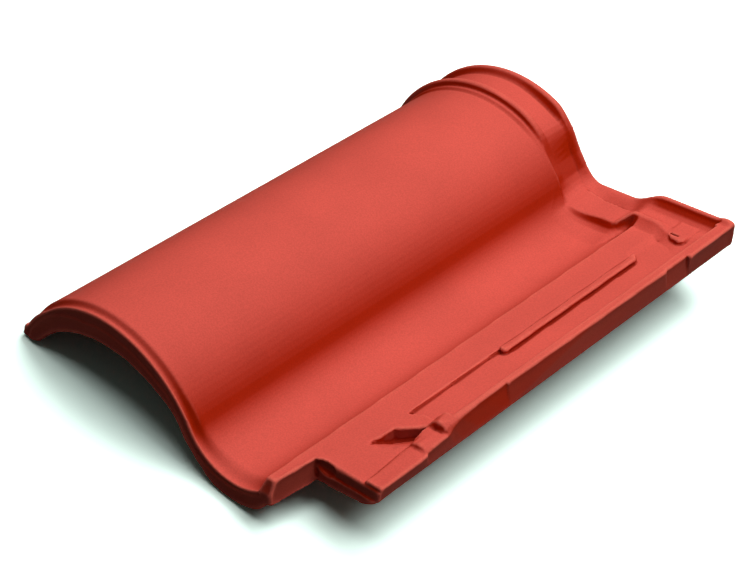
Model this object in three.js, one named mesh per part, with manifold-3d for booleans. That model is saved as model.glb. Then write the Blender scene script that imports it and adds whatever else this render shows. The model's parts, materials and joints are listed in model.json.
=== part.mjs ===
// A pressed clay roof tile: a covering roll on the left, a pan beside it, and an
// interlocking edge on the right. Millimetres, +Z up.
// The tile is drawn as it lies on a roof: x runs across from the lip of the roll, y runs
// up the slope from the nose to the head, and z is 0 on the underside of the pan. At the
// end it is turned to rest on a level floor, on its lip, its nose and its batten nib.
import * as THREE from 'three';
import { mergeVertices } from 'three/addons/utils/BufferGeometryUtils.js';
import Module from 'manifold-3d';

const wasm = await Module();
wasm.setup();

// ---- driving dimensions -------------------------------------------------------------
const tileLength = 430;
const thickness = 12.5; // of the clay, between the two dies

const rollRadius = 91; // outer face of the covering roll
const rollCrest = 89.7; // crest of the roll above the pan's underside
const panRadius = 40.1; // hollow face of the pan
const panWidth = 55; // from the side of the roll's full circle to the band
const panShoulder = 6.1; // from the end of the pan's arc to the band

const lipTip = 4.8; // how far the lip at the foot of the roll passes x = 0
const lipTipHeight = 37.2; // height of the edge that the lip rests on
const lipHollow = 1; // the underside behind that edge is this much lower
const lipStep = 8.2; // from that edge up to the narrow ledge on the lip
const ledgeRise = 0.1722; // from the ledge up to the foot of the roll's face
const lipWidth = 1.6; // from x = 0 to the face of the roll

const bandWidth = 23.5; // flat band beside the pan
const bandTop = 26.3;
const bandSide = 1.6; // width of the steep upper part of the band's left side
const lockUnderside = 8.8; // lowest part of the band's underside
const channelTop = 24.4; // water channel between the band and the rim

const noseRound = 8; // where the roll's surface starts to dip towards the nose's upper edge
const noseDrop = 3.2;
const noseEdge = 2; // length of the level strip along that edge
const noseSetback = 0.7; // the nose's face is set back above its parting line
const partingAtLip = 3.5; // depth of that line below the upper edge, at the lip
const panDip = 6; // the dip is this much longer in the pan
const noseArchRadius = 93.3; // arch of the nose's underside
const noseArchLower = 25; // how far its centre lies below the roll's
const dripDepth = 4.2; // drip edge under the nose of the pan
const dripLength = 8;
const dripRun = 5;

const notchInset = 5.6; // the front corner of the lock is cut back, this far into the band
const notchSkew = 3.9;
const notchDepth = 38.6; // at its left end
const notchDepthRight = 36.6; // and at its right end
const lockParting = 17.6; // height of the parting line on the lock's front face
const hollowWidth = 19; // round hollow at the left end of that face
const hollowHeight = 13;
const hollowDepth = 4;

const nibDepth = 12; // batten nib under the head of the pan
const nibBack = 38; // from the head end to its front
const nibLength = 15;
const nibWidth = 34;
const nibGap = 11.6; // from its right end to the band
const nibDraft = 2;

const beadStart = 206; // rain bead on the right edge of the band
const beadBack = 69; // from the head end to its end
const beadWidth = 5.4;
const beadTop = 27.7;

const innerRidgeHeight = 5.4; // the two ridges round the head of the roll
const outerRidgeHeight = 4;
const innerRidgeBack = 35.5; // their crests from the head end
const outerRidgeBack = 3;
const valleyDepth = 1.6; // the roll sinks this much towards its outer ridge
const flankRecess = 7; // the head is set back on the flank of the roll
const valleyShare = 1.3; // and a little more in front of the outer ridge

const platformTop = 23.3; // raised floor across the head of the pan
const platformBack = 42.5; // from the head end to its front edge
const platformCurl = 3.4; // its left end turns up to the flank
const platformReach = 26; // length of the coved step in front of it
const weatherTop = 31.3; // weather bar across the band
const weatherReach = 10;
const channelFloor = 28.1; // raised floor behind it, across the channel
const grooveBack = 16.5; // narrow groove between the platform and the head wall
const grooveDepth = 2;
const panWallTop = 25.2; // the head wall is low across the pan
const headWallTop = 36.9; // and high across the band and the channel
const cornerRise = 1.6; // knob on the corner of the head

const bossTop = 28.8; // boss in the end of the channel
const bossWidth = 15;
const bossGap = 3.4; // from the band to its left side
const bossBack = 35.5; // from the head end to its front
const slotLength = 7.4;
const slotWidth = 2.2;
const slotDepth = 6;
const slotBack = 31.5; // from the head end to its front side

const scoopDepth = 9.5; // scoop that drains the channel onto the next tile
const scoopFront = 69.7;
const channelFront = 111.5;
const rimTop = 36.4;
const rimEdge = 0.8; // rounding of the rim's upper edges
const rimUnderside = 19.2; // lower outer edge of the rim
const lockWidth = 39.9; // from the band to the rim's lower outer edge
const rimRootWidth = 18.5; // from that edge in to the rim's root, buried in the body

// The rim at the right edge climbs from a low strip at the front to its full height, in two
// steps with arched tops, and its outer edge steps out along the tile. The inner and outer
// edges are measured from its lower outer edge. The crown is the drop from the middle of its
// top to both sides, over the width given as the edge.
const rimStations = [
  { y: notchDepthRight - 1, inner: -11.6, outer: 1.7, top: 28.6 },
  { y: 74, inner: -14, outer: 1.5, top: 29, edge: 4, crown: 0.8 },
  { y: 83.2, inner: -14.5, outer: 0.8, top: 29.5, edge: 5, crown: 1.2 },
  { y: 85.5, inner: -14.8, outer: -0.4, top: 31.8, edge: 5, crown: 2.8 },
  { y: 95, inner: -15.6, outer: -0.5, top: 31.8, edge: 5, crown: 1.4 },
  { y: 104.6, inner: -16.8, outer: -0.6, top: 31.6, edge: 6, crown: 0.8 },
  { y: 107.2, inner: -17.6, outer: -0.8, edge: 6 },
  { y: 112.5, inner: -16, outer: -1.8, edge: 3.4 },
  { y: 120.5, inner: -13.4, outer: -2.6, edge: 1.6 },
  { y: 139, inner: -9.7, outer: -3.4 },
  { y: 168.5, inner: -8.3, outer: -3.7 },
  { y: 169.7, inner: -8.2, outer: -2.6 },
  { y: 268, inner: -7.6, outer: -1.3 },
  { y: tileLength - 85.5, inner: -8.8, outer: -0.3 },
  { y: tileLength - 82.5, inner: -8.8, outer: -1.4 },
  { y: tileLength - 58, inner: -8.9, outer: -1.1 },
  { y: tileLength - 56.8, inner: -8.9, outer: 1.7 },
  { y: tileLength, inner: -9, outer: 1.4 },
];

// The edges of the scoop, measured from the same edge of the rim, from the scoop's front end
// to the foot of the rim's full height.
const scoopStations = [
  { y: scoopFront, left: -39.1, right: -14.6 },
  { y: 75.3, left: -38.8, right: -14.8 },
  { y: 81, left: -37.1, right: -15.1 },
  { y: 88.3, left: -36.7, right: -15.7 },
  { y: 93.6, left: -36.1, right: -16.3 },
  { y: 96.5, left: -32.8, right: -16.6 },
  { y: 100.6, left: -28.6, right: -17 },
  { y: 105.2, left: -24, right: -17.4 },
  { y: 109.7, left: -21, right: -17.8 },
];

// ---- places worked out from them ------------------------------------------------------
const lipUnderside = lipTipHeight - lipHollow;
const lipLedge = lipTipHeight + lipStep;
const rollCentreZ = rollCrest - rollRadius;
const rollFoot = lipLedge + ledgeRise - rollCentreZ;
const rollCentreX = lipWidth + Math.sqrt(rollRadius ** 2 - rollFoot ** 2);
const rollSide = rollCentreX + rollRadius; // side of the roll's full circle
const bandLeft = rollSide + panWidth;
const bandRight = bandLeft + bandWidth;
const panEdge = bandLeft - panShoulder; // here the pan's arc ends, and its side rises
const rimSide = bandRight + lockWidth;
const rimRoot = rimSide - rimRootWidth;
const rimFoot = rimSide - 7; // the channel reaches in under the rim's bevel as far as this
const notchLeft = bandLeft + notchInset;
const nibRight = bandLeft - nibGap;
const nibLeft = nibRight - nibWidth;
const bossLeft = bandRight + bossGap;
const bossRight = bossLeft + bossWidth;
const platformFront = tileLength - platformBack;
const headFront = platformFront - 1.5; // the plain section ends here
const grooveFront = tileLength - grooveBack;
const bossFront = tileLength - bossBack;
const beadEnd = tileLength - beadBack;
const nibFront = tileLength - nibBack;

// ---- small tools --------------------------------------------------------------------
const weld = 1e-4;
const above = 60; // clear above the tile
const below = -20; // clear below it
const clear = 3; // how far a cut starts outside the clay
const buried = 3; // how far a joined piece reaches into the clay

const mix = (a, b, t) => a + (b - a) * t;
const ramp = (t, from, to) => Math.min(1, Math.max(0, (t - from) / (to - from)));
const smooth = (t, from, to) => {
  const s = ramp(t, from, to);
  return s * s * (3 - 2 * s);
};
const toShape = (points) => new THREE.Shape(points.map(([x, y]) => new THREE.Vector2(x, y)));

function solid(geometry) {
  geometry.deleteAttribute('normal');
  geometry.deleteAttribute('uv');
  const { attributes, index } = mergeVertices(geometry, weld);
  return new wasm.Manifold(new wasm.Mesh({
    numProp: 3,
    vertProperties: new Float32Array(attributes.position.array),
    triVerts: new Uint32Array(index.array),
  }));
}

// Skins a row of closed rings with the same number of points, and closes both ends. The
// outlines show how to fill the ends: they run counter-clockwise, seen along the row.
// Each face between four points is folded along its shorter diagonal.
function loft(rings, outline, endOutline = outline) {
  const count = outline.length;
  const points = rings.flat();
  const geometry = new THREE.BufferGeometry().setFromPoints(points);
  const faces = [];
  for (let row = 0; row < rings.length - 1; row += 1) {
    for (let k = 0; k < count; k += 1) {
      const [a, b] = [row * count + k, row * count + ((k + 1) % count)];
      const [c, d] = [a + count, b + count];
      const straight = points[a].distanceTo(points[d]) < points[b].distanceTo(points[c]);
      faces.push(...(straight ? [a, c, d, a, d, b] : [a, c, b, b, c, d]));
    }
  }
  for (const [a, b, c] of THREE.ShapeUtils.triangulateShape(outline, [])) {
    faces.push(a, b, c);
  }
  const last = (rings.length - 1) * count;
  for (const [a, b, c] of THREE.ShapeUtils.triangulateShape(endOutline, [])) {
    faces.push(last + a, last + c, last + b);
  }
  geometry.setIndex(faces);
  return solid(geometry);
}

// A block with the given plan, upright between two heights.
function upright(points, low, high) {
  const geometry = new THREE.ExtrudeGeometry(toShape(points), { depth: high - low, bevelEnabled: false });
  geometry.translate(0, 0, low);
  return solid(geometry);
}

// A block stacked from levels of one plan, lowest first. Each corner of the plan moves
// along its own direction by the level's spread, and the height can vary over the plan.
function stacked(corners, levels) {
  const around = corners.toReversed();
  const rings = levels.map(({ spread, z }) => around.map(([x, y, dx, dy]) => {
    const px = x + dx * spread;
    const py = y + dy * spread;
    return new THREE.Vector3(px, py, z instanceof Function ? z(px, py) : z);
  }));
  return loft(rings, around.map(([x, y]) => new THREE.Vector2(-x, y)));
}

// A bar along x with the given side profile, which can slant in y from left to right.
function across(profile, left, right, slant = 0) {
  const ring = (x, shift) => profile.map(([y, z]) => new THREE.Vector3(x, y + shift, z)).reverse();
  const outline = profile.map(([y, z]) => new THREE.Vector2(-y, z)).reverse();
  return loft([ring(left, 0), ring(right, slant * (right - left))], outline);
}

// ---- the section across the tile ------------------------------------------------------
const panCentreZ = thickness + panRadius;
const centreRise = panCentreZ - rollCentreZ;
const panCentreX = rollCentreX + Math.sqrt((rollRadius + panRadius) ** 2 - centreRise ** 2);
const flankAngle = Math.atan2(panCentreX - rollCentreX, centreRise); // from the vertical
const edgeAngle = Math.asin((panEdge - panCentreX) / panRadius);
const rollSteps = 44;
const panSteps = 22;

const onRoll = (radius, angle) => ({
  x: rollCentreX + radius * Math.sin(angle),
  z: rollCentreZ + radius * Math.cos(angle),
  nx: Math.sin(angle),
  nz: Math.cos(angle),
});
const onPan = (radius, angle) => ({
  x: panCentreX + radius * Math.sin(angle),
  z: panCentreZ - radius * Math.cos(angle),
  nx: -Math.sin(angle),
  nz: Math.cos(angle),
});
const sweep = (place, radius, from, to, steps) => Array.from({ length: steps + 1 }, (_, i) => place(
  radius,
  mix(from, to, i / steps),
));
const corner = (x, z) => ({ x, z, nx: 0, nz: 1 });

function rollLine() {
  const footAngle = Math.asin((lipWidth - rollCentreX) / rollRadius);
  return sweep(onRoll, rollRadius, footAngle, flankAngle, rollSteps);
}

const panLine = () => sweep(onPan, panRadius, -flankAngle, edgeAngle, panSteps).slice(1);
const bandShoulder = corner(bandLeft - bandSide, bandTop - 4);

function upperLine() {
  return [
    corner(-lipTip + 1.7, lipTipHeight + 3.2),
    corner(-lipTip + 2.2, lipLedge - 2.3),
    corner(-lipTip + 3.7, lipLedge),
    ...rollLine(),
    ...panLine(),
    bandShoulder,
    corner(bandLeft, bandTop),
    corner(rimRoot + 10, bandTop),
  ];
}

function lowerLine() {
  const inner = rollRadius - thickness;
  const outer = panRadius + thickness;
  const footAngle = -Math.acos((lipUnderside + 1.6 - rollCentreZ) / inner);
  const lockAngle = Math.acos((panCentreZ - lockUnderside) / outer);
  return [
    corner(-lipTip, lipTipHeight),
    corner(-lipTip + 4.2, lipUnderside + 0.3),
    corner(-lipTip + 7.3, lipUnderside),
    corner(-lipTip + 12.7, lipUnderside + 0.7),
    ...sweep(onRoll, inner, footAngle, flankAngle, rollSteps),
    ...sweep(onPan, outer, -flankAngle, lockAngle, panSteps).slice(1),
    corner(rimRoot - 20, lockUnderside + 0.4),
    corner(rimRoot - 12, lockUnderside + 1.3),
    corner(rimRoot + 2, lockUnderside + 2.3),
    corner(rimRoot + 10, lockUnderside + 7),
  ];
}

// ---- body: the section drawn along the tile ---------------------------------------------
const pastRoll = (x, from, to) => smooth(x - rollSide, from, to);
const pastBand = (x, from, to) => smooth(x - bandLeft, from, to);
const pastRim = (x, from, to) => smooth(x - rimSide, from, to);
const recessed = (x) => pastRoll(x, -36.6, -14.6) * (1 - pastRoll(x, -10.6, 0.4));

// The body gives way under the head's own relief.
function underHead(x, y) {
  const onFlank = pastRoll(x, -42.6, -20.6) * (1 - pastRoll(x, 7.4, 19.4));
  const depth = valleyDepth + 1 + flankRecess * valleyShare * onFlank;
  return x > lipWidth && x < rollSide + 19.4 ? depth * smooth(y, headFront, headFront + 6) : 0;
}

function upperRelief({ x }, y) {
  const drop = x < bandLeft - 2 ? noseDrop * smooth(x, lipWidth, lipWidth + 24) : 0;
  const dipEnd = noseRound + panDip * pastRoll(x, -20.6, 19.4);
  return -drop * (1 - smooth(y, noseEdge, dipEnd)) - underHead(x, y);
}

// Under the nose the arch is lower than the plain section, and the pan has a drip edge.
function lowerRelief({ x, nx, nz }, y) {
  const toArch = Math.sqrt(noseArchRadius ** 2 - (noseArchLower * nx) ** 2) - noseArchLower * nz;
  const arch = x > lipWidth + 8 && x < panCentreX ? Math.max(0, rollRadius - thickness - toArch) : 0;
  const drip = dripDepth * pastRoll(x, -10.6, 14.4) * (1 - pastBand(x, -11.6, 3.4));
  const atNose = 1 - smooth(y, dripLength, dripLength + dripRun);
  const behindFlank = 5 * recessed(x) * smooth(y, headFront, headFront + 6);
  return (x < rollSide - 15.6 ? arch : drip) * atNose + behindFlank;
}

function body() {
  const atNose = [0, 0.2, 0.4, 0.6, 0.8, 1].map((share) => mix(noseEdge, noseRound, share));
  const atDrip = [0, 0.5, 1].map((share) => dripLength + share * dripRun);
  const atHead = [0, 1.5, 3, 4.5, 6].map((run) => headFront + run);
  const upper = upperLine();
  const lower = lowerLine();
  const rows = new Set([0, ...atNose, ...atDrip, noseRound + panDip, ...atHead, tileLength]);
  const rings = [...rows].sort((a, b) => a - b).map((y) => [
    ...lower.map((p) => {
      const drop = lowerRelief(p, y);
      return new THREE.Vector3(p.x - p.nx * drop, y, p.z - p.nz * drop);
    }),
    ...upper.map((p) => {
      const rise = upperRelief(p, y);
      return new THREE.Vector3(p.x + p.nx * rise, y, p.z + p.nz * rise);
    }).reverse(),
  ]);
  const outline = [...lower, ...upper.reverse()].map(({ x, z }) => new THREE.Vector2(x, z));
  return loft(rings, outline);
}

// Above its parting line the nose's face is set back. The line follows the plain underside
// over the crest, and comes nearer to the upper edge at the lip and under the pan.
function noseFace() {
  const depthAt = (x) => mix(partingAtLip, thickness, ramp(x, 0, rollCentreX - 17.6))
    - 3 * (pastRoll(x, -45.6, -15.6) + pastRoll(x, 1.4, 34.4));
  const line = [...rollLine(), ...panLine()];
  const outline = [
    new THREE.Vector2(0.3, lipUnderside - clear),
    ...line.map((p) => new THREE.Vector2(p.x - p.nx * depthAt(p.x), p.z - p.nz * depthAt(p.x))),
    ...line.map((p) => new THREE.Vector2(p.x + p.nx * clear, p.z + p.nz * clear)).reverse(),
    new THREE.Vector2(-lipTip - clear, lipLedge),
    new THREE.Vector2(-lipTip - clear, lipUnderside - clear),
  ];
  const rings = [-clear, noseSetback].map((y) => outline.map((p) => new THREE.Vector3(p.x, y, p.y)));
  return loft(rings, outline);
}

// ---- rim and lock -------------------------------------------------------------------------
function rim() {
  const section = ({ inner, outer, top = rimTop, edge = rimEdge, crown = edge }) => [
    [rimRoot, lockUnderside + 2.2],
    [rimRoot + 5, lockUnderside + 2.5],
    [rimSide - 10, lockUnderside + 3.5],
    [rimSide - 5, rimUnderside - 4.2],
    [rimSide - 1.6, rimUnderside - 1.6],
    [rimSide, rimUnderside],
    [rimSide + outer, top - crown],
    [rimSide + outer - 0.5 * edge, top - 0.4 * crown],
    [rimSide + outer - 1.3 * edge, top],
    [rimSide + inner + 1.3 * edge, top],
    [rimSide + inner + 0.5 * edge, top - 0.4 * crown],
    [rimSide + inner, top - crown],
    [rimSide + inner - 1.2, channelTop - 1],
    [rimRoot, channelTop - 1],
  ];
  const rings = rimStations.map((station) => section(station)
    .map(([x, z]) => new THREE.Vector3(x, station.y, z)));
  return loft(rings, section(rimStations[0]).map(([x, z]) => new THREE.Vector2(x, z)));
}

// The front end of the band slopes down to the nose of the pan.
function bandEndSlope() {
  return across([
    [-clear, bandTop - 16],
    [0, bandTop - 10],
    [4.5, bandTop],
    [6, bandTop + clear],
    [-clear, bandTop + clear],
  ], bandLeft - 6, notchLeft + clear);
}

function notch() {
  return upright([
    [notchLeft, -1],
    [rimSide + 10, -1],
    [rimSide + 10, notchDepthRight],
    [notchLeft + notchSkew, notchDepth],
  ], below, above);
}

// The front face of the lock has a hollow at its left end, under the edge of the band,
// and its upper half is set back a little and has a bevelled edge.
const notchSlant = (notchDepthRight - notchDepth) / (rimSide - notchLeft);

function lockHollow() {
  const geometry = new THREE.SphereGeometry(1, 28, 16);
  geometry.scale(hollowWidth / 2, hollowDepth, hollowHeight / 2);
  geometry.translate(notchLeft + notchSkew + hollowWidth / 2 - 0.2, notchDepth - 1.2, bandTop - 3.7);
  return solid(geometry);
}

function lockSetback() {
  return across([
    [notchDepth - clear, lockParting],
    [notchDepth + 0.4, lockParting],
    [notchDepth + 0.8, lockParting + 0.6],
    [notchDepth + 1, bandTop - 1.2],
    [notchDepth + 2.2, bandTop + 0.2],
    [notchDepth + 2.4, above],
    [notchDepth - clear, above],
  ], bandRight - 0.5, rimSide + 10, notchSlant);
}

function channel() {
  const end = grooveFront + 6;
  return stacked([
    [bandRight, channelFront, -0.4, 0],
    [bandRight + 9.5, channelFront + 6, 0, -0.4],
    [rimFoot, channelFront + 7.5, 0, -0.4],
    [rimFoot, end, 0, 0],
    [bandRight + 1, end, -7, 0],
    [bandRight + 1, beadEnd, -7, 0],
    [bandRight, beadEnd - 4.5, -0.4, 0],
  ], [
    { spread: 0, z: channelTop },
    { spread: 1, z: bandTop + 0.1 },
    { spread: 1, z: above },
  ]);
}

function bead() {
  const left = bandRight + 0.4;
  const right = left + beadWidth;
  return stacked([
    [left, beadStart + 1.4, 0, 0],
    [left + 1.4, beadStart, 0, 0.6],
    [right - 1.6, beadStart, -0.2, 0.6],
    [right, beadStart + 2, -1, 0.2],
    [right, beadEnd - 5, -1, 0],
    [left + 0.6, beadEnd, 0, -0.6],
    [left, beadEnd - 3, 0, 0],
  ], [
    { spread: 0, z: lockUnderside + buried },
    { spread: 0, z: beadTop - 0.8 },
    { spread: 0.8, z: beadTop },
  ]);
}

// The scoop is deepest along its left wall, and its floor rises towards the rim and the nose.
function scoop() {
  const wall = new THREE.Line3(
    new THREE.Vector3(rimSide - 37, 84, 0),
    new THREE.Vector3(rimSide - 21, 110, 0),
  );
  const away = wall.delta(new THREE.Vector3()).cross(new THREE.Vector3(0, 0, 1)).normalize();
  const floorAt = (x, y) => {
    const distance = new THREE.Vector3(x, y, 0).sub(wall.start).dot(away);
    return bandTop - scoopDepth * ramp(y, scoopFront, 89) * (1 - smooth(distance, -3, 17));
  };
  const rings = scoopStations.map(({ y, left, right }) => [
    [rimSide + left - 0.4, bandTop + 2],
    [rimSide + left, bandTop],
    ...[0.05, 0.16, 0.3, 0.48, 0.72, 1].map((share) => {
      const x = rimSide + mix(left, right, share);
      return [x, floorAt(x, y)];
    }),
    [rimSide + right + 0.4, bandTop + 2],
  ].map(([x, z]) => new THREE.Vector3(x, y, z)));
  return loft(rings, rings.at(-3).map(({ x, z }) => new THREE.Vector2(x, z)));
}

// ---- head -----------------------------------------------------------------------------------
// The head is one relief across the tile: two ridges round the roll that run down its
// recessed flank, a raised floor across the pan, a weather bar over the band, and a wall
// along the end. Its profile has the same points at every place across the tile.

// On the roll: the distance to the head end, and the shares of the inner ridge, the outer
// ridge, the recess of the flank and the valley in front of the outer ridge.
const rollProfile = [
  [innerRidgeBack + 9, -0.05, 0, 0, 0],
  [innerRidgeBack + 7.4, 0.08, 0, 0, 0],
  [innerRidgeBack + 6.2, 0.26, 0, 0, 0],
  [innerRidgeBack + 3.8, 0.38, 0, 0.2, 0],
  [innerRidgeBack + 2.6, 0.8, 0, 0.42, 0],
  [innerRidgeBack + 1.2, 1, 0, 0.56, 0],
  [innerRidgeBack - 1.4, 1, 0, 0.63, 0],
  [innerRidgeBack - 3, 0.75, 0, 0.7, 0],
  [innerRidgeBack - 4.4, 0.25, 0, 0.75, 0],
  [innerRidgeBack - 5.5, 0, 0, 0.8, 0],
  [outerRidgeBack + 6.4, 0, 0, valleyShare, 1],
  [outerRidgeBack + 5, 0, 0.04, valleyShare, 1],
  [outerRidgeBack + 3.4, 0, 0.4, 1.15, 0.6],
  [outerRidgeBack + 1.8, 0, 0.8, 1.05, 0],
  [outerRidgeBack + 0.8, 0, 0.96, 1, 0],
  [outerRidgeBack, 0, 1, 1, 0],
  [outerRidgeBack - 1.6, 0, 0.96, 1, 0],
  [0, 0, 0.75, 1, 0],
];

function rollHead(p) {
  const innerRidge = innerRidgeHeight * (1 - pastRoll(p.x, -52.6, -20.6));
  const outerRidge = outerRidgeHeight * (1 - pastRoll(p.x, -46.6, -31.6));
  const recess = flankRecess * recessed(p.x);
  const valley = valleyDepth * pastRoll(p.x, -90.6, -45.6) * (1 - pastRoll(p.x, -36.6, -20.6));
  return rollProfile.map(([back, inner, outer, set, sunk]) => {
    const rise = inner * innerRidge + outer * outerRidge - set * recess - sunk * valley;
    return new THREE.Vector3(p.x + p.nx * rise, tileLength - back, p.z + p.nz * rise);
  });
}

// On the pan and the band: a step up to the raised floor, the floor, and the wall.
function panHead({ x, z }) {
  const onBand = pastBand(x, -18.6, -5.1);
  const inChannel = pastRim(x, -31, -21);
  const pastWeatherBar = pastBand(x, 10.4, 33.4);
  const onHighWall = pastBand(x, -25.6, 5.4);
  const lowest = x > rimFoot ? rimTop - 1 : 0;
  const panFloor = platformTop + platformCurl * (1 - pastRoll(x, -3.6, 15.4));
  const floor = Math.max(lowest, mix(panFloor, channelFloor, onBand));
  const edge = Math.max(lowest, mix(panFloor, mix(weatherTop, channelFloor, pastWeatherBar), onBand));
  const front = platformFront + 5.3 * pastRoll(x, 0.4, 29.4) + 9.6 * pastBand(x, -17.6, -5.6)
    - 4 * pastBand(x, 14.4, 32.4) + 8.1 * inChannel;
  const reach = mix(mix(platformReach, weatherReach, onBand), platformReach, inChannel);
  const rounding = Math.min(1, (grooveFront - front - 0.5) / 6); // limited by the floor behind it
  const groove = floor - grooveDepth * (1 - pastBand(x, -31.6, -15.6));
  const knob = cornerRise * pastRim(x, -12, -6) * (1 - pastRim(x, -3, 2));
  const top = mix(panWallTop, headWallTop, onHighWall) + knob;
  const step = (distance, coved, sloped) => [
    front - reach * distance,
    mix(z, edge, mix(coved, sloped, pastBand(x, -13.6, 0.4))),
  ];
  const wall = (back, low, high) => [tileLength - back, mix(groove, top, mix(low, high, onHighWall))];
  return [
    step(1, -0.08, -0.08),
    step(0.58, 0.12, 0.32),
    step(0.27, 0.3, 0.68),
    step(0.13, 0.52, 0.86),
    step(0.02, 0.94, 0.97),
    [front + 0.6 * rounding, edge],
    [front + 2.5 * rounding, mix(floor, edge, 0.94)],
    [front + 5 * rounding, mix(floor, edge, 0.45)],
    [Math.min(front + 8, grooveFront - 0.5), floor],
    [grooveFront, floor],
    [grooveFront + 0.5, groove],
    [grooveFront + 2, groove],
    wall(11.5, 0.3, 0.06),
    wall(8, 0.7, 0.28),
    wall(5, 0.95, 0.68),
    wall(3.6, 1, 0.94),
    wall(2.4, 0.98, 1),
    [tileLength, top - 0.8],
  ].map(([y, height]) => new THREE.Vector3(x, y, height));
}

// The plain surface that the head stands on, from the pan to the rim.
function sideLine() {
  const from = (a, b, steps) => Array.from({ length: steps }, (_, i) => corner(
    mix(a.x, b.x, (i + 1) / steps),
    mix(a.z, b.z, (i + 1) / steps),
  ));
  const panSide = onPan(panRadius, edgeAngle);
  const bandEdge = corner(bandLeft, bandTop);
  const slopeTop = corner(bandRight - 6, bandTop);
  const slopeFoot = corner(bandRight + 1, channelTop);
  const rimInside = corner(rimFoot, channelTop);
  const onRim = corner(rimFoot + 0.1, rimTop - 1);
  const rimEnd = corner(rimSide + rimStations.at(-1).outer - 0.4, rimTop - 1);
  return [
    ...from(panSide, bandShoulder, 6),
    ...from(bandShoulder, bandEdge, 2),
    ...from(bandEdge, slopeTop, 7),
    ...from(slopeTop, slopeFoot, 3),
    ...from(slopeFoot, rimInside, 9),
    ...from(rimInside, onRim, 1),
    ...from(onRim, rimEnd, 5),
  ];
}

function head() {
  const arcs = [...rollLine(), ...panLine()];
  const line = [...arcs, ...sideLine()];
  const rings = line.map((p) => {
    const toPan = pastRoll(p.x, -12.6, 1.4);
    const pan = panHead(p);
    const top = rollHead(p).map((place, i) => place.lerp(pan[i], toPan));
    const rise = -underHead(p.x, tileLength) - buried;
    const root = (y) => new THREE.Vector3(p.x + p.nx * rise, y, p.z + p.nz * rise);
    return [root(tileLength), root(top[0].y), ...top];
  });
  const outline = (ring) => ring.map(({ y, z }) => new THREE.Vector2(-y, z));
  return loft(rings, outline(rings[0]), outline(rings.at(-1)));
}

function boss() {
  const back = grooveFront + 8;
  return stacked([
    [bossLeft, bossFront + 6, -0.6, -0.6],
    [bossLeft + 6, bossFront + 1, -0.4, -0.9],
    [bossRight - 2, bossFront, 0.2, -1],
    [bossRight, bossFront + 2.5, 1, -0.4],
    [bossRight, back, 1, 0],
    [bossLeft, back, -1, 0],
  ], [
    { spread: 1.8, z: channelTop - buried },
    { spread: 1.4, z: channelTop + 1.6 },
    { spread: 0.5, z: bossTop - 0.5 },
    { spread: 0, z: bossTop },
  ]);
}

function slot() {
  const front = tileLength - slotBack;
  const left = bossLeft + 2.1;
  return upright([
    [left, front],
    [left + slotLength, front],
    [left + slotLength, front + slotWidth],
    [left, front + slotWidth],
  ], bossTop - slotDepth, above);
}

// ---- underside --------------------------------------------------------------------------------
function battenNib() {
  return stacked([
    [nibLeft, nibFront, 1, 0],
    [nibRight, nibFront, -1, 0],
    [nibRight, nibFront + nibLength, -1, -1],
    [nibLeft, nibFront + nibLength, 1, -1],
  ], [
    { spread: nibDraft, z: -nibDepth },
    { spread: 0, z: thickness / 2 },
  ]);
}

// Turns the tile to lie on a level floor: it rolls onto its lip and pitches onto its nib.
function restOnFloor(geometry) {
  const noseRadius = panRadius + thickness + dripDepth;
  const toCentre = Math.atan2(panCentreZ - lipTipHeight, panCentreX + lipTip);
  const distance = Math.hypot(panCentreZ - lipTipHeight, panCentreX + lipTip);
  const tilt = Math.asin(noseRadius / distance) - toCentre;
  const pitch = Math.atan2(nibDepth - dripDepth, nibFront);
  geometry.rotateY(-tilt);
  geometry.rotateX(pitch);
  geometry.computeBoundingBox();
  const { min, max } = geometry.boundingBox;
  geometry.translate(-(min.x + max.x) / 2, -(min.y + max.y) / 2, -min.z);
}

function tileGeometry() {
  const add = (whole, piece) => whole.add(piece);
  const cut = (whole, piece) => whole.subtract(piece);
  const plain = [rim(), battenNib()].reduce(add, body());
  const drained = [channel(), scoop()].reduce(cut, plain);
  const pressed = [bead(), head(), boss()].reduce(add, drained);
  const cuts = [slot(), notch(), bandEndSlope(), noseFace(), lockHollow(), lockSetback()];
  const { vertProperties, triVerts } = cuts.reduce(cut, pressed).getMesh();
  const geometry = new THREE.BufferGeometry();
  geometry.setAttribute('position', new THREE.BufferAttribute(vertProperties, 3));
  geometry.setIndex(new THREE.BufferAttribute(triVerts, 1));
  restOnFloor(geometry);
  geometry.computeVertexNormals();
  return geometry;
}

const clay = new THREE.MeshStandardMaterial({ color: 0xc4523c, roughness: 0.85, metalness: 0 });
const tile = new THREE.Mesh(tileGeometry(), clay);
tile.name = 'roof_tile';

const part = new THREE.Group();
part.add(tile);
export default part;
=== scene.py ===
import json
import math

import bpy
import numpy as np
from mathutils import Matrix, Vector, noise

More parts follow.
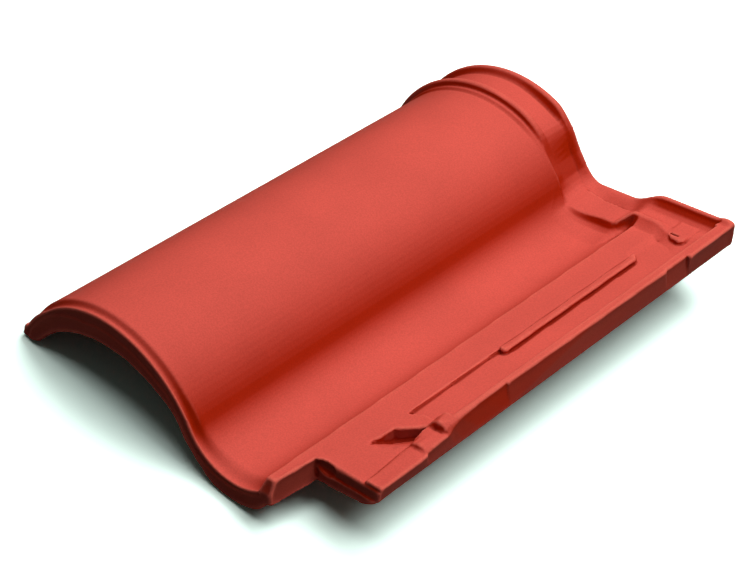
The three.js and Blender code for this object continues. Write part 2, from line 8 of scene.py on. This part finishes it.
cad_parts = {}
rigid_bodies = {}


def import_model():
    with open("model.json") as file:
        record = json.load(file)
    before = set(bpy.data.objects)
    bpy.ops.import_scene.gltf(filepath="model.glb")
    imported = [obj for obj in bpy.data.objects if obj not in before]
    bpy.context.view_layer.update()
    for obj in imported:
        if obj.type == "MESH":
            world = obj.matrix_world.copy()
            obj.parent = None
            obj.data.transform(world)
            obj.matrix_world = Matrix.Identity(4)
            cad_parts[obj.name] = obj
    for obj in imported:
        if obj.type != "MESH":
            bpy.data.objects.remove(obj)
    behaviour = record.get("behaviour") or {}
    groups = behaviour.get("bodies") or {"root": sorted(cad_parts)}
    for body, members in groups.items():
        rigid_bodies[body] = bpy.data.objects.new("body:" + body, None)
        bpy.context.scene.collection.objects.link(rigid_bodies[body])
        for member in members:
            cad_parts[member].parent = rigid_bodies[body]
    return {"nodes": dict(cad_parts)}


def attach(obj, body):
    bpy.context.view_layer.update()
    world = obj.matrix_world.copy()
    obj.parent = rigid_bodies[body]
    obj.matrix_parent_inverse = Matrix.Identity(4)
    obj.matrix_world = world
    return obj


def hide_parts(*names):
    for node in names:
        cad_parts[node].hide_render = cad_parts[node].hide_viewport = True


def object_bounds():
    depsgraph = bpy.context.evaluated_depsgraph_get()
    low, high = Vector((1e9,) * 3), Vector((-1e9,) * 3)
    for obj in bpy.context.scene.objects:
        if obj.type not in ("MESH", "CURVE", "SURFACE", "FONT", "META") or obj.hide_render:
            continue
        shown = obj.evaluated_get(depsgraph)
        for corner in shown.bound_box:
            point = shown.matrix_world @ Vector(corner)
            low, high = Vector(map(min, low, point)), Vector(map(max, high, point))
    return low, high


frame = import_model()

bl_info = {
    "name": "Clay Roof Tile",
    "version": (1, 0, 0),
    "blender": (4, 5, 0),
    "location": "View3D > Sidebar > Roof Tile",
    "description": "Fired clay surface, studio stage and camera for an interlocking roll tile",
    "category": "Object",
}

NODE = "roof_tile"
CAD_LOW, CAD_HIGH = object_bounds()
CENTRE = (CAD_LOW + CAD_HIGH) / 2

# The pressed surface. Lengths are in metres, and a bend is the turn of the normal along an edge.
MERGE_DISTANCE = 0.00001
RELIEF_PASSES = 80  # relaxing passes that give the mean surface under the relief
LIFT_LIMIT = 0.0007  # the relief moves in or out by no more than this
BEND_PASSES = 2  # relaxing passes over the bend
CHIP_BEND = 0.12  # bend at which an arris starts to be nibbled
CHIP_GAIN = 5  # how fast the nibbling grows with the bend
CHIP_LEAST = 0.02  # weaker corners are left whole
CHIPS_PER_METRE = 170
CHIP_SHARE = 0.4  # raises the noise, so that more of the arris is nibbled
ARRIS_GAIN = 1.6  # contrast of the mark "arris"
HOLLOW_GAIN = 300.0  # contrast of the mark "hollow", per metre of depth

# Coats of colour over the steep colour, in order: the mark that masks the coat, the value of the
# mark at which it starts and at which it is full, how strong it gets, and the name of its colour.
# The coats paint shade and highlight by the shape: darker steep and upright faces, darker hollows
# and inner corners, and paler proud places and corners, which are partly rubbed wear.
COATS = (
    # painted shade: faces that lie level get the body colour, steeper ones keep the darker steep
    # colour
    ("level", 0.55, 1.00, 1.0, "body_colour"),
    # painted shade: upright faces and the underside turn a darker brown red
    ("level", 0.48, 0.25, 1.0, "upright_shade_colour"),
    # painted shade in places that lie low
    ("hollow", 0.58, 1.00, 0.6, "hollow_shade_colour"),
    # places that stand proud turn paler: partly rubbed wear, partly painted highlight
    ("hollow", 0.42, 0.00, 0.6, "rubbed_and_highlight_colour"),
    # painted shade in inner corners
    ("arris", 0.46, 0.22, 1.0, "hollow_shade_colour"),
    # outer corners turn paler: partly rubbed wear, partly painted highlight
    ("arris", 0.56, 0.85, 1.0, "rubbed_and_highlight_colour"),
)

# Grain and mottling
GRAIN_SIZE = 0.0007
SPECKS_PER_METRE = 900.0
PATCHES_PER_METRE = 14.0
NOISE_RANGE = (0.30, 0.70)  # values that the noise textures mostly keep to
PATCH_DEPTH = 0.04  # the patches lighten and darken the colour by this share
SPECK_DEPTH = 0.07
BUMP_STRENGTH = 0.25

# Spacing of the nodes in the shader editor
COLUMN = 250
ROW = 200


# ---------------------------------------------------------------- settings


class ClaySettings(bpy.types.PropertyGroup):
    """Sizes and colours of the fired clay body"""

    grid: bpy.props.FloatProperty(
        name="Surface grid",
        description="Size of the cells that the pressed surface is rebuilt from",
        default=0.0008,
        unit="LENGTH",
    )
    softening: bpy.props.IntProperty(
        name="Softening passes",
        description="How many times the pressed arrises are rubbed down",
        default=3,
        min=0,
    )
    crispness: bpy.props.FloatProperty(
        name="Crispness",
        description="How far the small relief is pressed in or out, as a share of its depth",
        default=0.60,
        min=0.0,
        max=1.0,
    )
    raggedness: bpy.props.FloatProperty(
        name="Raggedness",
        description="How deep the lower arrises are nibbled where the flash was trimmed",
        default=0.0008,
        unit="LENGTH",
    )
    triangles: bpy.props.IntProperty(
        name="Triangles kept",
        description="Number of triangles that the finished surface keeps",
        default=190000,
    )
    body_colour: bpy.props.FloatVectorProperty(
        name="Body colour",
        description="Colour of the fired clay on the faces that lie level",
        subtype="COLOR",
        size=3,
        default=(0.640, 0.090, 0.066),
    )
    # Painted shade: the steep faces get a darker, deeper red than the faces that lie level.
    steep_shade_colour: bpy.props.FloatVectorProperty(
        name="Steep colour",
        description="Deeper red of the steep faces, painted to stand for shade",
        subtype="COLOR",
        size=3,
        default=(0.370, 0.015, 0.001),
    )
    # Painted shade: the upright faces and the underside get a darker brown red.
    upright_shade_colour: bpy.props.FloatVectorProperty(
        name="Upright shade colour",
        description="Brown red of the upright faces and the underside, painted darker to stand for shade",
        subtype="COLOR",
        size=3,
        default=(0.340, 0.046, 0.030),
    )
    # Painted shade in hollows and inner corners.
    hollow_shade_colour: bpy.props.FloatVectorProperty(
        name="Hollow colour",
        description="Dark red painted as shade in inner corners and hollows",
        subtype="COLOR",
        size=3,
        default=(0.230, 0.012, 0.004),
    )
    # Paler proud places and corners: partly rubbed wear, partly painted highlight.
    rubbed_and_highlight_colour: bpy.props.FloatVectorProperty(
        name="Arris colour",
        description="Paler colour on proud corners, partly rubbed wear, partly painted highlight",
        subtype="COLOR",
        size=3,
        default=(0.700, 0.120, 0.085),
    )
    grain: bpy.props.FloatProperty(
        name="Grain size",
        description="Size of the sand grains in the pressed face",
        default=GRAIN_SIZE,
        unit="LENGTH",
    )
    grain_depth: bpy.props.FloatProperty(
        name="Grain depth",
        description="Depth of the sand grain in the bump",
        default=0.00015,
        unit="LENGTH",
    )
    roughness: bpy.props.FloatProperty(
        name="Roughness",
        description="Roughness of the matte fired face",
        default=0.62,
        min=0.0,
        max=1.0,
    )
    shine: bpy.props.FloatProperty(
        name="Shine",
        description="Specular level of the dry clay",
        default=0.015,
        min=0.0,
        max=1.0,
    )


class StageSettings(bpy.types.PropertyGroup):
    """Floor, lamps and camera"""

    floor_size: bpy.props.FloatProperty(
        name="Floor size",
        description="Length and width of the floor",
        default=9.0,
        unit="LENGTH",
    )
    floor_colour: bpy.props.FloatVectorProperty(
        name="Floor colour",
        description="Colour of the pale floor",
        subtype="COLOR",
        size=3,
        default=(1.45, 1.76, 1.63),
    )
    floor_bounce: bpy.props.FloatProperty(
        name="Floor bounce",
        description="Share of the light that the floor throws back on the tile",
        default=0.1,
        min=0.0,
        max=1.0,
    )
    fade_start: bpy.props.FloatProperty(
        name="Fade start",
        description="Distance from the middle at which the floor starts to turn plain white",
        default=0.4,
        unit="LENGTH",
    )
    fade_end: bpy.props.FloatProperty(
        name="Fade end",
        description="Distance from the middle past which the floor is plain white",
        default=0.9,
        unit="LENGTH",
    )
    sky_low: bpy.props.FloatProperty(
        name="Low sky strength",
        description="Strength of the soft light from the horizon",
        default=0.02,
    )
    sky_high: bpy.props.FloatProperty(
        name="High sky strength",
        description="Strength of the soft light from straight above",
        default=0.05,
    )
    sky_colour: bpy.props.FloatVectorProperty(
        name="Sky colour",
        description="Cool colour of the soft light from all round",
        subtype="COLOR",
        size=3,
        default=(0.80, 1.0, 0.92),
    )
    key_power: bpy.props.FloatProperty(
        name="Key lamp power",
        description="Power of the wide soft lamp above and behind the tile",
        default=35.3,
        unit="POWER",
    )
    key_place: bpy.props.FloatVectorProperty(
        name="Key lamp place",
        description="Place of the wide soft lamp",
        subtype="TRANSLATION",
        size=3,
        default=(0.25, 0.52, 1.70),
    )
    key_width: bpy.props.FloatProperty(
        name="Key lamp width",
        description="Size of the wide soft lamp across the tile",
        default=2.1,
        unit="LENGTH",
    )
    key_depth: bpy.props.FloatProperty(
        name="Key lamp depth",
        description="Size of the wide soft lamp along the tile",
        default=1.1,
        unit="LENGTH",
    )
    fill_power: bpy.props.FloatProperty(
        name="Fill lamp power",
        description="Power of the smaller lamp over the nose",
        default=8.5,
        unit="POWER",
    )
    fill_place: bpy.props.FloatVectorProperty(
        name="Fill lamp place",
        description="Place of the smaller lamp over the nose",
        subtype="TRANSLATION",
        size=3,
        default=(0.15, -0.42, 2.00),
    )
    fill_size: bpy.props.FloatProperty(
        name="Fill lamp size",
        description="Width and depth of the smaller lamp",
        default=0.8,
        unit="LENGTH",
    )
    azimuth: bpy.props.FloatProperty(
        name="Camera azimuth",
        description="Turn of the view about the upright, from looking along the tile",
        default=math.radians(35.15),
        unit="ROTATION",
    )
    elevation: bpy.props.FloatProperty(
        name="Camera elevation",
        description="Height of the camera above the horizon",
        default=math.radians(40.17),
        unit="ROTATION",
    )
    roll: bpy.props.FloatProperty(
        name="Camera roll",
        description="Turn of the camera about its own view line",
        default=math.radians(10.70),
        unit="ROTATION",
    )
    distance: bpy.props.FloatProperty(
        name="Camera distance",
        description="Distance from the camera to the middle of the tile",
        default=1.4672,
        unit="LENGTH",
    )
    aim: bpy.props.FloatVectorProperty(
        name="Aim",
        description="Point that the camera looks at, from the middle of the tile's box",
        subtype="TRANSLATION",
        size=3,
        default=(0.0, -0.0140, -0.0136),
    )
    lens: bpy.props.FloatProperty(
        name="Lens",
        description="Focal length for a 36 mm wide sensor, in millimetres",
        default=98.8,
    )


# ---------------------------------------------------------------- small helpers


def deselect_all():
    """Deselects every object, the tile's own nodes among them."""
    for obj in bpy.context.scene.objects:
        obj.select_set(False)


def make_active(obj):
    """Selects this object alone and makes it the active one."""
    deselect_all()
    obj.select_set(True)
    bpy.context.view_layer.objects.active = obj


def apply_modifier(obj, kind, name, **values):
    """Adds one modifier with these values and applies it."""
    modifier = obj.modifiers.new(name, kind)
    for key, value in values.items():
        setattr(modifier, key, value)
    make_active(obj)
    bpy.ops.object.modifier_apply(modifier=modifier.name)


def add_node(tree, kind, column, row, **values):
    """Adds a node at this column and row, with these values."""
    node = tree.nodes.new(kind)
    node.location = (COLUMN * column, -ROW * row)
    for key, value in values.items():
        setattr(node, key, value)
    return node


def set_inputs(node, **values):
    """Sets inputs by name, with an underscore for each space in it."""
    for key, value in values.items():
        node.inputs[key.replace("_", " ")].default_value = value


def add_math(tree, column, row, operation, first, second):
    """Joins two sockets by this math operation."""
    node = add_node(tree, "ShaderNodeMath", column, row, operation=operation)
    tree.links.new(first, node.inputs[0])
    tree.links.new(second, node.inputs[1])
    return node.outputs[0]


def map_range(tree, column, row, value, low, high, to_low=0.0, to_high=1.0):
    """Turns values from low to high smoothly into values from to_low to to_high."""
    node = add_node(tree, "ShaderNodeMapRange", column, row, interpolation_type="SMOOTHSTEP")
    set_inputs(node, From_Min=low, From_Max=high, To_Min=to_low, To_Max=to_high)
    tree.links.new(value, node.inputs["Value"])
    return node.outputs["Result"]


def mix_colour(tree, column, row, mask, low, high):
    """Mixes from low to high by a mask; low and high are sockets or colours."""
    node = add_node(tree, "ShaderNodeMix", column, row, data_type="RGBA")
    tree.links.new(mask, node.inputs["Factor"])
    for socket, value in ((node.inputs[6], low), (node.inputs[7], high)):
        if isinstance(value, bpy.types.NodeSocket):
            tree.links.new(value, socket)
        else:
            socket.default_value = (*value, 1.0)
    return node.outputs[2]


def mix_shaders(tree, column, row, mask, low, high):
    """Mixes from the shader low to the shader high by a mask."""
    node = add_node(tree, "ShaderNodeMixShader", column, row)
    for socket, value in zip(node.inputs, (mask, low, high)):
        tree.links.new(value, socket)
    return node.outputs[0]


def background_rays(tree, column, row):
    """1 where the ray comes from the camera, or off or through something shiny."""
    rays = add_node(tree, "ShaderNodeLightPath", column, row).outputs
    seen, mirrored = rays["Is Camera Ray"], rays["Is Glossy Ray"]
    either = add_math(tree, column + 1, row, "MAXIMUM", seen, mirrored)
    return add_math(tree, column + 2, row, "MAXIMUM", either, rays["Is Transmission Ray"])


# ---------------------------------------------------------------- clay surface


def mesh_arrays(mesh):
    """Vertex pairs, places and normals of a mesh as arrays."""
    count = len(mesh.vertices)
    places = np.empty(count * 3, np.float32)
    normals = np.empty(count * 3, np.float32)
    pairs = np.empty(len(mesh.edges) * 2, np.int32)
    mesh.vertices.foreach_get("co", places)
    mesh.vertices.foreach_get("normal", normals)
    mesh.edges.foreach_get("vertices", pairs)
    return pairs.reshape(-1, 2), places.reshape(-1, 3), normals.reshape(-1, 3)


def mean_over_edges(pairs, at_first, at_second, count):
    """Mean of a value over each vertex's edges, given for the first and second end of each."""
    first, second = pairs[:, 0], pairs[:, 1]
    edges = np.bincount(first, minlength=count) + np.bincount(second, minlength=count)
    total = np.bincount(first, at_first, count) + np.bincount(second, at_second, count)
    return total / np.maximum(edges, 1)


def relax(pairs, values):
    """Moves each vertex's value halfway to the mean of its neighbours."""
    first, second = pairs[:, 0], pairs[:, 1]
    return 0.5 * values + 0.5 * mean_over_edges(pairs, values[second], values[first], len(values))


def sink(pairs, places, normals):
    """How far each vertex lies below the mean surface around it, in metres."""
    relaxed = places.copy()
    for _ in range(RELIEF_PASSES):
        for axis in range(3):
            relaxed[:, axis] = relax(pairs, relaxed[:, axis])
    return ((relaxed - places) * normals).sum(axis=1)


def bend(pairs, places, normals):
    """How sharply the surface turns at each vertex, plus at corners that stand out."""
    first, second = pairs[:, 0], pairs[:, 1]
    step = places[second] - places[first]
    length = np.linalg.norm(step, axis=1) + 1e-9
    turn = ((normals[second] - normals[first]) * step).sum(axis=1) / length
    curve = mean_over_edges(pairs, turn, turn, len(places))
    for _ in range(BEND_PASSES):
        curve = relax(pairs, curve)
    return curve


def move_vertices(obj, places):
    """Puts the vertices at these places."""
    obj.data.vertices.foreach_set("co", places.ravel().astype(np.float32))
    obj.data.update()


def keep_in_box(obj):
    """Holds every vertex inside the box of the CAD tile."""
    places = mesh_arrays(obj.data)[1]
    move_vertices(obj, np.clip(places, np.array(CAD_LOW), np.array(CAD_HIGH)))


def press_relief(obj, settings):
    """Crisps the small relief and nibbles the lower arrises, then marks the shape by which the
    clay's shade and highlight are painted.

    The marks are "arris", above 0.5 at corners that stand out and below it at inner corners,
    "hollow", above 0.5 where the surface lies low and below it where it stands proud, and
    "level", 1 where it faces up and 0 where it is upright or faces down.
    """
    pairs, places, normals = mesh_arrays(obj.data)
    depth = sink(pairs, places, normals)
    turn = bend(pairs, places, normals)
    lift = np.clip(-depth * settings.crispness, -LIFT_LIMIT, LIFT_LIMIT)
    facing_down = np.clip(0.5 - normals[:, 2] * 2, 0, 1)
    corner = np.clip((turn - CHIP_BEND) * CHIP_GAIN, 0, 1) * facing_down
    for index in np.flatnonzero(corner > CHIP_LEAST):
        chip = noise.noise(Vector(places[index]) * CHIPS_PER_METRE) + CHIP_SHARE
        lift[index] -= corner[index] * settings.raggedness * max(0.0, chip)
    move_vertices(obj, places + normals * lift[:, None])
    marks = {
        "arris": 0.5 + turn * ARRIS_GAIN,
        "hollow": 0.5 + depth * HOLLOW_GAIN,
        "level": normals[:, 2],
    }
    for name, value in marks.items():
        layer = obj.data.attributes.new(name, "FLOAT", "POINT")
        layer.data.foreach_set("value", np.clip(value, 0.0, 1.0).astype(np.float32))


def pressed_copy(name, settings):
    """A copy of the CAD tile on an even grid, with soft arrises and pressed relief."""
    mesh = frame["nodes"][NODE].data.copy()
    obj = bpy.data.objects.new(name, mesh)
    bpy.context.scene.collection.objects.link(obj)
    make_active(obj)
    bpy.ops.object.mode_set(mode="EDIT")
    bpy.ops.mesh.select_all(action="SELECT")
    bpy.ops.mesh.remove_doubles(threshold=MERGE_DISTANCE)
    bpy.ops.object.mode_set(mode="OBJECT")
    apply_modifier(obj, "REMESH", "Cells", mode="VOXEL", voxel_size=settings.grid)
    apply_modifier(obj, "SMOOTH", "Rubbed", factor=0.5, iterations=settings.softening)
    press_relief(obj, settings)
    share = settings.triangles / (2 * len(obj.data.polygons))
    apply_modifier(obj, "DECIMATE", "Fewer faces", ratio=min(1.0, share))
    keep_in_box(obj)
    obj.data.shade_smooth()
    return obj


# ---------------------------------------------------------------- clay material


def grain_group():
    """Node group: fine sand grain and slow mottling of pressed, fired clay."""
    tree = bpy.data.node_groups.new("clay grain", "ShaderNodeTree")
    size = tree.interface.new_socket("Size", in_out="INPUT", socket_type="NodeSocketFloat")
    size.default_value = GRAIN_SIZE
    for name in ("Height", "Specks", "Patches"):
        tree.interface.new_socket(name, in_out="OUTPUT", socket_type="NodeSocketFloat")
    source = add_node(tree, "NodeGroupInput", 0, 0)
    target = add_node(tree, "NodeGroupOutput", 3, 1)
    place = add_node(tree, "ShaderNodeTexCoord", 0, 2)
    scale = add_node(tree, "ShaderNodeMath", 1, 0, operation="DIVIDE")
    scale.inputs[0].default_value = 1.0
    tree.links.new(source.outputs["Size"], scale.inputs[1])
    fine = add_node(tree, "ShaderNodeTexNoise", 2, 0)
    set_inputs(fine, Detail=3.0, Roughness=0.65)
    tree.links.new(scale.outputs[0], fine.inputs["Scale"])
    specks = add_node(tree, "ShaderNodeTexNoise", 2, 1.5)
    set_inputs(specks, Scale=SPECKS_PER_METRE, Detail=2.0, Roughness=0.6)
    patches = add_node(tree, "ShaderNodeTexNoise", 2, 3)
    set_inputs(patches, Scale=PATCHES_PER_METRE, Detail=3.0, Roughness=0.55)
    for texture, name in ((fine, "Height"), (specks, "Specks"), (patches, "Patches")):
        tree.links.new(place.outputs["Object"], texture.inputs["Vector"])
        tree.links.new(texture.outputs["Fac"], target.inputs[name])
    return tree


def clay_material(settings):
    """Matte fired clay: coats of colour by the surface's marks, which paint shade on steep and
    upright faces and in hollows and paint highlight with rubbed wear on proud corners, mottled,
    with a sandy grain.
    """
    material = bpy.data.materials.new("fired clay")
    material.use_nodes = True
    tree = material.node_tree
    shader = tree.nodes["Principled BSDF"]
    set_inputs(shader, Roughness=settings.roughness, Specular_IOR_Level=settings.shine)
    # The steep colour and the coats paint shade and highlight by the surface's shape.
    colour = settings.steep_shade_colour
    for row, (mark, start, full, strength, name) in enumerate(COATS):
        value = add_node(tree, "ShaderNodeAttribute", -10, row, attribute_name=mark).outputs["Fac"]
        mask = map_range(tree, -9, row, value, start, full, 0.0, strength)
        colour = mix_colour(tree, row - 8, row, mask, colour, getattr(settings, name))
    grain = add_node(tree, "ShaderNodeGroup", -5, 8, node_tree=grain_group())
    set_inputs(grain, Size=settings.grain)
    depths = (("Patches", PATCH_DEPTH), ("Specks", SPECK_DEPTH))
    patches, specks = (
        map_range(tree, -4, 7 + row, grain.outputs[name], *NOISE_RANGE, 1 - depth, 1 + depth)
        for row, (name, depth) in enumerate(depths)
    )
    mottle = add_math(tree, -3, 7, "MULTIPLY", patches, specks)
    tint = add_node(tree, "ShaderNodeMix", -1, 5, data_type="RGBA", blend_type="MULTIPLY")
    set_inputs(tint, Factor=1.0)
    tree.links.new(colour, tint.inputs[6])
    tree.links.new(mottle, tint.inputs[7])
    tree.links.new(tint.outputs[2], shader.inputs["Base Color"])
    bump = add_node(tree, "ShaderNodeBump", -1, 8)
    set_inputs(bump, Strength=BUMP_STRENGTH, Distance=settings.grain_depth)
    tree.links.new(grain.outputs["Height"], bump.inputs["Height"])
    tree.links.new(bump.outputs["Normal"], shader.inputs["Normal"])
    return material


# ---------------------------------------------------------------- stage


def floor_material(settings):
    """Pale matte floor that throws little light back up, and turns plain white far away."""
    material = bpy.data.materials.new("studio floor")
    material.use_nodes = True
    tree = material.node_tree
    shader = tree.nodes["Principled BSDF"]
    set_inputs(shader, Roughness=0.9, Specular_IOR_Level=0.0)
    seen = background_rays(tree, -5, 0)
    bounce = [settings.floor_bounce] * 3
    colour = mix_colour(tree, -1, 0, seen, bounce, settings.floor_colour)
    tree.links.new(colour, shader.inputs["Base Color"])
    place = add_node(tree, "ShaderNodeTexCoord", -5, 2)
    reach = add_node(tree, "ShaderNodeVectorMath", -4, 2, operation="LENGTH")
    tree.links.new(place.outputs["Object"], reach.inputs[0])
    away = map_range(tree, -3, 2, reach.outputs["Value"], settings.fade_start, settings.fade_end)
    fade = add_math(tree, -2, 2, "MULTIPLY", away, seen)
    white = add_node(tree, "ShaderNodeEmission", 0, 3)
    set_inputs(white, Color=(1.0, 1.0, 1.0, 1.0), Strength=1.0)
    shown = mix_shaders(tree, 2, 0, fade, shader.outputs[0], white.outputs[0])
    tree.links.new(shown, tree.nodes["Material Output"].inputs["Surface"])
    return material


def sky_world(settings):
    """Soft light that grows towards the top of the sky; the camera sees plain white."""
    world = bpy.data.worlds.new("studio sky")
    world.use_nodes = True
    tree = world.node_tree
    light = tree.nodes["Background"]
    set_inputs(light, Color=(*settings.sky_colour, 1.0))
    place = add_node(tree, "ShaderNodeTexCoord", -4, 0)
    height = add_node(tree, "ShaderNodeSeparateXYZ", -3, 0)
    tree.links.new(place.outputs["Generated"], height.inputs["Vector"])
    strength = map_range(
        tree, -2, 0, height.outputs["Z"], 0.0, 1.0, settings.sky_low, settings.sky_high
    )
    tree.links.new(strength, light.inputs["Strength"])
    white = add_node(tree, "ShaderNodeBackground", 0, 1)
    set_inputs(white, Color=(1.0, 1.0, 1.0, 1.0), Strength=1.0)
    seen = background_rays(tree, -3, 3)
    shown = mix_shaders(tree, 1, 0, seen, light.outputs[0], white.outputs[0])
    tree.links.new(shown, tree.nodes["World Output"].inputs["Surface"])
    return world


def soft_lamp(name, place, sides, power):
    """Rectangular lamp that faces the tile."""
    data = bpy.data.lights.new(name, "AREA")
    data.shape = "RECTANGLE"
    data.size, data.size_y = sides
    data.energy = power
    lamp = bpy.data.objects.new(name, data)
    lamp.location = place
    lamp.rotation_mode = "QUATERNION"
    lamp.rotation_quaternion = (lamp.location - CENTRE).to_track_quat("Z", "Y")
    bpy.context.scene.collection.objects.link(lamp)


# ---------------------------------------------------------------- operators


class ROOFTILE_OT_clay_body(bpy.types.Operator):
    """Builds the pressed clay body with its fired surface"""

    bl_idname = "rooftile.clay_body"
    bl_label = "Clay body"

    def execute(self, context):
        settings = context.scene.tile_clay
        piece = pressed_copy("clay_body", settings)
        piece.data.materials.clear()
        piece.data.materials.append(clay_material(settings))
        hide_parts(NODE)
        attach(piece, "root")
        return {"FINISHED"}


class ROOFTILE_OT_stage(bpy.types.Operator):
    """Lays the floor and hangs the soft studio lamps"""

    bl_idname = "rooftile.stage"
    bl_label = "Stage"

    def execute(self, context):
        settings = context.scene.tile_stage
        deselect_all()
        bpy.ops.mesh.primitive_plane_add(size=settings.floor_size, location=(0, 0, CAD_LOW.z))
        floor = context.object
        floor.name = "studio_floor"
        bpy.ops.object.transform_apply(location=True, rotation=True, scale=True)
        floor.data.materials.append(floor_material(settings))
        key_sides = (settings.key_width, settings.key_depth)
        soft_lamp("key", settings.key_place, key_sides, settings.key_power)
        fill_sides = (settings.fill_size, settings.fill_size)
        soft_lamp("fill", settings.fill_place, fill_sides, settings.fill_power)
        context.scene.world = sky_world(settings)
        context.scene.view_settings.view_transform = "Standard"
        return {"FINISHED"}


class ROOFTILE_OT_camera(bpy.types.Operator):
    """Places the camera and turns it towards the tile"""

    bl_idname = "rooftile.camera"
    bl_label = "Camera"

    def execute(self, context):
        settings = context.scene.tile_stage
        data = bpy.data.cameras.new("view")
        data.lens = settings.lens
        camera = bpy.data.objects.new("view", data)
        context.scene.collection.objects.link(camera)
        turn, rise = settings.azimuth, settings.elevation
        flat = math.cos(rise)
        back = Vector((math.sin(turn) * flat, -math.cos(turn) * flat, math.sin(rise)))
        camera.location = CENTRE + Vector(settings.aim) + back * settings.distance
        upright = back.to_track_quat("Z", "Y").to_matrix()
        rolled = upright @ Matrix.Rotation(settings.roll, 3, "Z")
        camera.rotation_mode = "QUATERNION"
        camera.rotation_quaternion = rolled.to_quaternion()
        context.scene.camera = camera
        return {"FINISHED"}


class ROOFTILE_PT_panel(bpy.types.Panel):
    """Lists the sizes and colours, the clay body, the stage and the camera"""

    bl_label = "Roof Tile"
    bl_space_type = "VIEW_3D"
    bl_region_type = "UI"
    bl_category = "Roof Tile"

    def draw(self, context):
        for group in (context.scene.tile_clay, context.scene.tile_stage):
            box = self.layout.box()
            for key in type(group).__annotations__:
                box.prop(group, key)
        for operator in OPERATORS:
            self.layout.operator(operator.bl_idname)


OPERATORS = (ROOFTILE_OT_clay_body, ROOFTILE_OT_stage, ROOFTILE_OT_camera)
CLASSES = (ClaySettings, StageSettings, *OPERATORS, ROOFTILE_PT_panel)


def register():
    """Adds the classes, and the settings to the scene."""
    for item in CLASSES:
        bpy.utils.register_class(item)
    bpy.types.Scene.tile_clay = bpy.props.PointerProperty(type=ClaySettings)
    bpy.types.Scene.tile_stage = bpy.props.PointerProperty(type=StageSettings)


def unregister():
    """Takes the settings and the classes away again."""
    del bpy.types.Scene.tile_stage
    del bpy.types.Scene.tile_clay
    for item in reversed(CLASSES):
        bpy.utils.unregister_class(item)


def main():
    register()
    bpy.ops.rooftile.clay_body()
    bpy.ops.rooftile.stage()
    bpy.ops.rooftile.camera()


if __name__ == "__main__":
    main()
